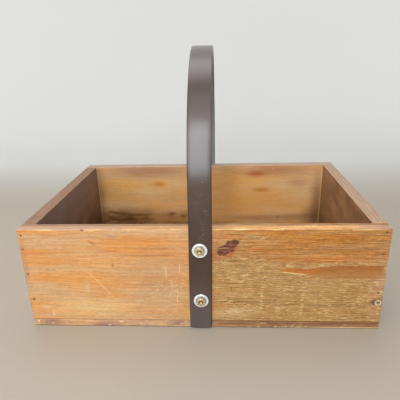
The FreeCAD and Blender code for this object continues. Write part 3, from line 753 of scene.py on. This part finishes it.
def metal(name, colour, dull, roughness, cell, metallic, ring=None):
    """Plated metal: even colour, dulled in patches, with fine marks and perhaps a darker ring round
    the bolt axis.
    """
    shader = Shader(name)
    patches = shader.noise((cell, cell, cell), 3, 0.6)
    fine = shader.noise((0.35, 0.35, 0.35), 2, 0.5)
    shader.colour = shader.mix(shader.band(patches, 0.4, 0.75), colour, dull)
    if ring:
        # On the washers this ring is a painted shadow round the nut; on the nuts and the bolt tips
        # it is a dark outline
        radius, width, dirt, strength = ring
        away = abs(bolt_distance(shader) - radius)
        shader.cover(shader.band(away, width, width * 0.4) * strength, dirt)
    return shader.finish(roughness + patches * 0.18, fine * 0.012, metallic)


def screw_steel():
    """The corner screw: a rim rubbed bright round a dirty middle."""
    shader = Shader("screw_steel_worn")
    low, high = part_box("corner_screw")
    centre = (low + high) * 500
    radius = (high.x - low.x) * 500
    grime = shader.noise((1.4, 1.4, 1.4), 3, 0.6)
    middle = shader.spot((centre.x, centre.z), (radius * 0.8, radius * 0.8), 0, "xz", 0.8)
    middle = shader.band(middle + (grime - 0.5) * 0.8, 0.2, 0.7)
    dirt = shader.mix(shader.band(grime, 0.4, 0.6), (196, 164, 136), (150, 120, 96))
    shader.colour = shader.mix(middle, (240, 218, 194), dirt)
    return shader.finish(0.45, grime * 0.05, 0.2)


# Meshes

def dress_node(node, name, mesh, material, slot):
    """Put a detailed piece in the place of a CAD node."""
    mesh.materials.clear()
    mesh.materials.append(material)
    piece = place_object(name, mesh)
    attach(piece, "root")
    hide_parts(node)


def smooth(mesh, sharp):
    """Smooth shading, apart from edges that turn by more than so many degrees."""
    mesh.polygons.foreach_set("use_smooth", [True] * len(mesh.polygons))
    mesh.set_sharp_from_angle(angle=math.radians(sharp))
    return mesh


def to_mesh(bm, name, sharp=40.0):
    mesh = bpy.data.meshes.new(name)
    bmesh.ops.recalc_face_normals(bm, faces=bm.faces)
    bm.to_mesh(mesh)
    bm.free()
    return smooth(mesh, sharp)


def join_rings(rings, closed=False):
    """A surface through rings of points, capped at both ends unless it closes on itself."""
    bm = bmesh.new()
    rows = [[bm.verts.new(point) for point in ring] for ring in rings]
    count = len(rings[0])
    pairs = list(zip(rows, rows[1:])) + ([(rows[-1], rows[0])] if closed else [])
    for first, second in pairs:
        for step in range(count):
            following = (step + 1) % count
            bm.faces.new((first[step], first[following], second[following], second[step]))
    if not closed:
        bm.faces.new(rows[0])
        bm.faces.new(reversed(rows[-1]))
    return bm


def cut(mesh, tool, operation, name, sharp=40.0):
    """mesh cut by, or kept within, the tool's mesh."""
    pieces = [place_object("cutting", data) for data in (mesh, tool)]
    modifier = pieces[0].modifiers.new("cut", "BOOLEAN")
    modifier.object = pieces[1]
    modifier.operation = operation
    modifier.solver = "MANIFOLD"
    depsgraph = bpy.context.evaluated_depsgraph_get()
    made = bpy.data.meshes.new_from_object(pieces[0].evaluated_get(depsgraph))
    for piece in pieces:
        bpy.data.objects.remove(piece)
    made.name = name
    return smooth(made, sharp)


def welded(node):
    """A CAD node's mesh with its doubled points joined."""
    bm = bmesh.new()
    bm.from_mesh(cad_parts[node].data)
    bmesh.ops.remove_doubles(bm, verts=bm.verts, dist=1e-6)
    mesh = bpy.data.meshes.new(node + "_solid")
    bm.to_mesh(mesh)
    bm.free()
    return mesh


# Rows of points in from a board's edges, and the even step between them
EDGE_ROWS = [row * MM for row in (0, 0.12, 0.35, 0.7, 1.15, 1.7, 2.5)]
FACE_STEP = 3.2 * MM


def board_lines(low, high):
    inner = high - low - 2 * EDGE_ROWS[-1]
    count = max(1, round(inner / FACE_STEP))
    middle = [EDGE_ROWS[-1] + inner * step / count for step in range(1, count)]
    near = [low + row for row in EDGE_ROWS]
    far = [high - row for row in reversed(EDGE_ROWS)]
    return near + [low + row for row in middle] + far


def box_grid(low, high):
    """The surface of a box as a welded grid."""
    lines = [board_lines(low[axis], high[axis]) for axis in range(3)]
    bm = bmesh.new()
    known = {}

    def vertex(indices):
        if indices not in known:
            known[indices] = bm.verts.new([lines[axis][indices[axis]] for axis in range(3)])
        return known[indices]

    counts = [len(line) - 1 for line in lines]
    for axis in range(3):
        first, second = [other for other in range(3) if other != axis]
        for side, i, j in product((0, counts[axis]), range(counts[first]), range(counts[second])):
            corners = []
            for di, dj in ((0, 0), (1, 0), (1, 1), (0, 1)):
                indices = [0, 0, 0]
                indices[axis], indices[first], indices[second] = side, i + di, j + dj
                corners.append(vertex(tuple(indices)))
            bm.faces.new(corners)
    return bm


def edge_radius(place, top_wear):
    """How far the edge is rounded there: little, more in worn stretches, most in chips."""
    slow = noise.noise(place * 28 + Vector((3.1, 7.7, 1.3)))
    fast = noise.noise(place * 120 + Vector((9.4, 2.2, 5.8)))
    radius = 0.7 + 0.4 * slow + top_wear
    chip = min(1.1, max(0.0, fast - 0.34) * 6.0)
    return (radius + chip) * MM


def worn_board(node, material, slot):
    """The CAD board with rounded, chipped edges and a slightly uneven face."""
    low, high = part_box(node)
    bm = box_grid(low, high)
    for vert in bm.verts:
        place = vert.co.copy()
        top_wear = 0.35 if place.z > BOX_TOP - 3 * MM else 0.0
        radius = max(0.8 * MM, edge_radius(place, top_wear))
        core = Vector([
            min(max(place[axis], low[axis] + radius), high[axis] - radius) for axis in range(3)])
        out = place - core
        if out.length < 1e-9:
            continue
        out.normalize()
        hollow = 0.06 + 0.10 * (noise.noise(place * 14) + 1) + 0.03 * (noise.noise(place * 90) + 1)
        vert.co = core + out * (radius - hollow * MM)
    mesh = cut(to_mesh(bm, node + "_grid"), welded(node), "INTERSECT", node + "_worn", 32.0)
    dress_node(node, node + "_worn", mesh, material, slot)


# The four bolts, and which way along Y they point
BOLTS = {"front_upper": -1, "front_lower": -1, "rear_upper": 1, "rear_lower": 1}

# Strap
STRAP_STEPS = 182
STRAP_THICKNESS = 4.0 * MM
STRAP_INSET = 0.05 * MM
STRAP_EDGE_ROUND = 0.9 * MM
STRAP_CROWN = 0.1 * MM
STRAP_HOLE_RADIUS = 2.6 * MM
FOOT_ROUND = 3.0 * MM


def strap_section(half_width, thickness):
    """Rounded corners, a slightly crowned outer face and a flat inner one."""
    points, turns = [], 6
    inner, outer = -thickness / 2, thickness / 2
    radius = min(STRAP_EDGE_ROUND, half_width * 0.45)
    corners = (
        (half_width - radius, outer - radius, 90, 0),
        (half_width - radius, inner + radius, 0, -90),
        (-half_width + radius, inner + radius, -90, -180),
        (-half_width + radius, outer - radius, 180, 90),
    )
    for x, z, first, last in corners:
        for step in range(turns + 1):
            angle = math.radians(first + (last - first) * step / turns)
            points.append((x + radius * math.cos(angle), z + radius * math.sin(angle)))
        if z < 0 < x:
            points += [(share * half_width, inner) for share in (0.5, 0.0, -0.5)]
    points += [(share * half_width, outer) for share in (-0.6, -0.3, 0.0, 0.3, 0.6)]
    return [(x, z - STRAP_CROWN * (x / half_width) ** 2 * (z > 0)) for x, z in points]


def make_strap(material):
    """The strap: rings along its run, then its four holes."""
    low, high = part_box("handle_strap")
    radius = high.y - STRAP_THICKNESS / 2
    spring = high.z - high.y
    leg = spring - low.z
    arch = math.pi * radius
    total = 2 * leg + arch

    def frame_at(run):
        """Middle of the strap and its outward direction, at a distance from the front foot."""
        if run < leg:
            return Vector((0, -radius, low.z + run)), Vector((0, -1, 0))
        if run > leg + arch:
            return Vector((0, radius, low.z + total - run)), Vector((0, 1, 0))
        angle = (run - leg) / radius
        out = Vector((0, -math.cos(angle), math.sin(angle)))
        return Vector((0, 0, spring)) + out * radius, out

    def bow(run):
        """The strap leans a little to the right at the top, as in the photograph."""
        turn = math.pi * run / total
        return (-1.0 + 3.0 * max(0.0, math.sin(turn)) ** 1.5 + 1.1 * math.sin(2 * turn)) * MM

    runs = [FOOT_ROUND * (1 - math.cos(math.radians(angle))) for angle in (8, 22, 38, 55, 72, 90)]
    step = (total - 2 * FOOT_ROUND) / STRAP_STEPS
    foot = [total - run for run in reversed(runs)]
    runs += [FOOT_ROUND + step * count for count in range(1, STRAP_STEPS)] + foot
    rings = []
    for run in runs:
        middle, out = frame_at(run)
        end = min(run, total - run)
        short = max(0.0, FOOT_ROUND - end)
        narrow = FOOT_ROUND - math.sqrt(FOOT_ROUND ** 2 - short ** 2)
        thin = 0.35 * MM * max(0.0, 1 - end / (1.2 * MM))
        half_width = (high.x - low.x) / 2 - narrow - STRAP_INSET
        ring = []
        for x, z in strap_section(half_width, STRAP_THICKNESS - 2 * (thin + STRAP_INSET)):
            waver = 0.12 * MM * noise.noise(Vector((x * 40, run * 18, 3.3)))
            ring.append(middle + Vector((x + bow(run) + waver, 0, 0)) + out * (z + waver * 0.5))
        rings.append(ring)
    mesh = to_mesh(join_rings(rings), "leather_handle_whole", 50)
    for bolt, side in BOLTS.items():
        centre = sum(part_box(bolt + "_bolt"), Vector()) / 2
        hole = round_bar(centre.x, centre.z, STRAP_HOLE_RADIUS, side * radius, 8 * MM)
        mesh = cut(mesh, hole, "DIFFERENCE", "leather_handle", 50)
    dress_node("handle_strap", "leather_handle", mesh, material, "strap_leather")


def round_bar(x, z, radius, y, length):
    """A round bar along Y, for cutting holes."""
    rings = []
    for place in (y - length / 2, y + length / 2):
        rings.append([Vector((x + across, place, z + up)) for across, up in circle(32, radius)])
    return to_mesh(join_rings(rings), "bar")


# Bolts, washers and nuts, drawn as pairs of a height along Z and a radius round it

def circle(count, radius):
    """Points on a circle, or on an outline whose radius is a function of the angle."""
    points = []
    for step in range(count):
        angle = 2 * math.pi * step / count
        reach = radius(angle) if callable(radius) else radius
        points.append((reach * math.cos(angle), reach * math.sin(angle)))
    return points


def polygon(flat, sides, limit):
    """The outline of a polygon with half its width over flats, rounded off at a limit."""
    def radius(angle):
        share = angle % (2 * math.pi / sides) - math.pi / sides
        return min(flat / math.cos(share), limit)
    return radius


def mount(node, side, profile, count, looks, turn=0.0, head=0.0, closed=True):
    """Dress a node with rings round its axis that point out of the front (-1) or the back (1)."""
    ending, sharp, material, slot = looks
    low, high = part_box(node)
    seat = (low + high) / 2
    seat.y = high.y - head if side < 0 else low.y + head
    facing = Matrix(((-side, 0, 0), (0, 0, side), (0, 1, 0))) @ Matrix.Rotation(turn, 3, "Z")
    rings = []
    for height, radius in profile:
        rings.append([seat + facing @ Vector((*point, height)) for point in circle(count, radius)])
    mesh = to_mesh(join_rings(rings, closed), node, sharp)
    dress_node(node, node + ending, mesh, material, slot)


def make_bolt(node, side, material):
    """A domed head, a square neck and a threaded shank with a chamfered tip."""
    low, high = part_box(node)
    head, wide, shank = 2.6 * MM, (high.x - low.x) / 2, 2.4 * MM
    neck, neck_end = 2.5 * MM, 2.9 * MM
    start, end = 14.0 * MM, high.y - low.y - head
    pitch, depth = 1.06 * MM, 0.42 * MM
    profile = []
    for angle in (4, 14, 26, 38, 50, 62, 72, 80):
        turn = math.radians(angle)
        profile.append((-head * math.cos(turn) ** 0.8, wide * math.sin(turn) ** 0.92))
    square = polygon(neck, 4, neck * 1.33)
    profile += [
        (-0.35 * MM, wide - 0.02 * MM), (-0.1 * MM, wide - 0.08 * MM), (0.0, wide - 0.35 * MM),
        (0.0, square), (neck_end - 0.3 * MM, square), (neck_end, neck),
        (neck_end + 0.01 * MM, shank), (start - 0.5 * MM, shank),
    ]
    rows = int((end - start) / (pitch / 9))
    for row in range(rows + 1):
        height = start + (end - start) * row / rows
        fade = min(1.0, row / 12)
        tip = max(0.0, height - (end - 0.6 * MM))

        def thread(angle, height=height, fade=fade, tip=tip):
            groove = abs(2 * ((height / pitch - angle / (2 * math.pi)) % 1.0) - 1)
            return min(shank - depth * fade * (1 - groove), shank - 0.15 * MM - tip * 0.8)
        profile.append((height, thread))
    profile.append((end, 0.9 * MM))
    looks = ("_threaded", 35, material, "yellow_metal")
    mount(node, side, profile, 48, looks, head=head, closed=False)


def make_nut(node, side, material, turn):
    """A hexagon nut, bevelled round its outer face, with a countersunk bore."""
    low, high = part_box(node)
    thickness = high.y - low.y
    flat, bore = 4.75 * MM, 2.5 * MM
    corner, blunt, face = flat / math.cos(math.pi / 6), flat * 1.02, flat * 0.93
    bevel = (corner - face) * 0.577
    profile = [(0.0, bore + 0.25 * MM)]
    for share in (0.0, 0.35, 0.7, 1.0):
        outline = polygon(flat, 6, blunt + (corner - blunt) * share)
        profile.append((0.30 * MM * share, outline))
    for share in (1.0, 0.8, 0.6, 0.4, 0.2, 0.08, 0.0):
        outline = polygon(flat, 6, face + (corner - face) * share)
        profile.append((thickness - bevel * share, outline))
    top = thickness - 0.02 * MM
    profile += [
        (top, face - 0.2 * MM), (top, bore + 0.35 * MM),
        (thickness - 0.35 * MM, bore), (0.25 * MM, bore),
    ]
    mount(node, side, profile, 96, ("_bevelled", 30, material, "yellow_metal"), turn)


def make_washer(node, side, material):
    """A stamped washer: edges rolled over on the outer side, and a shallow dish."""
    low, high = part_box(node)
    thickness = high.y - low.y
    outer, inner = (high.x - low.x) / 2 - 0.3 * MM, 2.75 * MM
    profile = []
    for share, out in ((0.12, 0.0), (0.7, 0.0), (0.86, 0.18), (0.86, 1.2)):
        profile.append((share * thickness, inner + out * MM))
    for share, back in (
            (0.90, 2.0), (0.99, 1.2), (1.0, 0.7), (0.86, 0.25),
            (0.55, 0.03), (0.3, 0.0), (0.06, 0.08), (0.0, 0.3)):
        profile.append((share * thickness, outer - back * MM))
    profile.append((0.0, inner + 0.2 * MM))
    mount(node, side, profile, 72, ("_stamped", 45, material, "washer_steel"))


# Surroundings

def seen_rays(tree):
    """1 for what the camera sees, in a mirror or through glass too, and 0 for mere lighting."""
    rays = tree.nodes.new("ShaderNodeLightPath").outputs
    seen = rays["Is Camera Ray"]
    for kind in ("Is Glossy Ray", "Is Transmission Ray"):
        either = tree.nodes.new("ShaderNodeMath")
        either.operation = "MAXIMUM"
        tree.links.new(seen, either.inputs[0])
        tree.links.new(rays[kind], either.inputs[1])
        seen = either.outputs[0]
    return seen


def floor_material():
    """A warm pale floor, which turns into an even pale backdrop far from the tote."""
    shader = Shader("pale_floor")
    far = shader.band(shader.y, 250, 700)
    shader.colour = shader.mix(far, (196, 185, 169), (238, 238, 235))
    material = shader.finish(0.5, 0.0, Specular_IOR_Level=0.4)
    distance = shader.vector("LENGTH", shader.place)
    glowing = shader.band(distance, 700, 1500) * seen_rays(shader.tree)
    glow = shader.add("ShaderNodeEmission", {"Color": (226, 226, 222), "Strength": 1.0}).outputs[0]
    mixed = shader.add("ShaderNodeMixShader", (glowing, shader.surface.outputs[0], glow)).outputs[0]
    shader.tree.links.new(mixed, shader.tree.nodes["Material Output"].inputs["Surface"])
    return material


def make_stage():
    """A pale floor that curves up behind into a pale backdrop."""
    bm = bmesh.new()
    depth, bend, height, half = 1.1, 0.35, 3.0, 6.0
    profile = [(-6.0, 0.0), (depth - bend, 0.0)]
    for angle in range(10, 91, 10):
        turn = math.radians(angle)
        profile.append((depth - bend + bend * math.sin(turn), bend - bend * math.cos(turn)))
    profile.append((depth, height))
    rows = [[bm.verts.new((x, y, z)) for x in (-half, half)] for y, z in profile]
    for first, second in zip(rows, rows[1:]):
        bm.faces.new((first[0], first[1], second[1], second[0]))
    mesh = to_mesh(bm, "floor")
    mesh.materials.append(floor_material())
    place_object("floor", mesh)


def add_light(name, place, target, size, power, colour=(1, 1, 1)):
    data = bpy.data.lights.new(name, "AREA")
    data.shape = "RECTANGLE"
    data.size, data.size_y = size
    data.energy = power
    data.color = colour
    light = place_object(name, data)
    light.location = place
    light.rotation_mode = "QUATERNION"
    light.rotation_quaternion = (Vector(target) - Vector(place)).to_track_quat("-Z", "Y")


# How bright the world is as a light, and as the camera and mirrors see it
WORLD_LIGHT, WORLD_SEEN = 0.22, 0.75


def make_lights():
    bpy.context.scene.view_settings.view_transform = "Standard"
    add_light("window", (-0.13, -1.75, 0.82), (0, 0, 0.2), (0.34, 1.70), 21, (0.87, 0.93, 1.0))
    add_light("overhead", (0.0, -1.1, 1.6), (0, 0, 0.1), (0.8, 1.4), 6, (0.94, 0.97, 1.0))
    add_light("key", (-1.15, -1.10, 0.95), (0, 0, 0.1), (1.0, 0.8), 7, (1.0, 0.95, 0.88))
    add_light("ceiling", (-0.2, 0.9, 2.0), (0, 0, 0), (1.4, 1.7), 15.6)
    world = bpy.data.worlds.new("studio")
    bpy.context.scene.world = world
    world.use_nodes = True
    nodes, links = world.node_tree.nodes, world.node_tree.links
    strength = nodes.new("ShaderNodeMapRange")
    strength.inputs["To Min"].default_value = WORLD_LIGHT
    strength.inputs["To Max"].default_value = WORLD_SEEN
    links.new(seen_rays(world.node_tree), strength.inputs["Value"])
    links.new(strength.outputs["Result"], nodes["Background"].inputs["Strength"])
    nodes["Background"].inputs["Color"].default_value = (0.97, 0.98, 1.0, 1)


def dress():
    """Give every CAD node its detailed piece or its material."""
    worn_board("front_board", front_wood(), "pine_front")
    worn_board("back_board", back_wood(), "pine_back")
    left = end_wood(
        "pine_end_left", "left_end_board", (-240.0, 40.0), (4.3, 6.7, 2.1), -1,
        ((164, 134, 112), (136, 106, 82)), (172, 134, 108), (-46, 58))
    worn_board("left_end_board", left, "pine_end")
    right = end_wood(
        "pine_end_right", "right_end_board", (250.0, 100.0), (1.3, 3.7, 9.1), 1,
        ((182, 138, 98), (150, 110, 80)), (206, 172, 142), (38, 76))
    worn_board("right_end_board", right, "pine_end")
    worn_board("bottom_board", bottom_wood(), "pine_bottom")
    make_strap(leather())
    # The bolts' plating is a lighter copy of the nuts': a painted highlight on the bolt ends
    highlit_plating = metal(
        "yellow_plating_painted_highlight", (255, 246, 196), (236, 206, 146), 0.24, 2.0, 1.0,
        (2.0, 0.9, (88, 62, 30), 0.85))
    brass = metal(
        "yellow_plating", (222, 200, 164), (170, 144, 106), 0.34, 1.4, 0.8,
        (5.4, 0.8, (110, 90, 64), 0.5))
    # The washers' dark ring is a painted shadow round the nut
    zinc = metal(
        "zinc_plating", (250, 252, 252), (206, 210, 214), 0.3, 2.4, 0.5,
        (5.4, 1.0, (124, 118, 106), 0.6))
    nail = metal("dark_nail_steel", (104, 80, 70), (74, 52, 46), 0.6, 1.0, 0.3)
    screw = screw_steel()
    for (bolt, side), nut_turn in zip(BOLTS.items(), (0.2, 0.55, 0.35, 0.9)):
        make_bolt(bolt + "_bolt", side, highlit_plating)
        make_nut(bolt + "_nut", side, brass, nut_turn)
        make_washer(bolt + "_washer", side, zinc)
    for name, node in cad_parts.items():
        if name.endswith("_nails") or name == "corner_screw":
            node.data.materials.clear()
            node.data.materials.append(screw if name == "corner_screw" else nail)


make_camera()
make_stage()
make_lights()
dress()
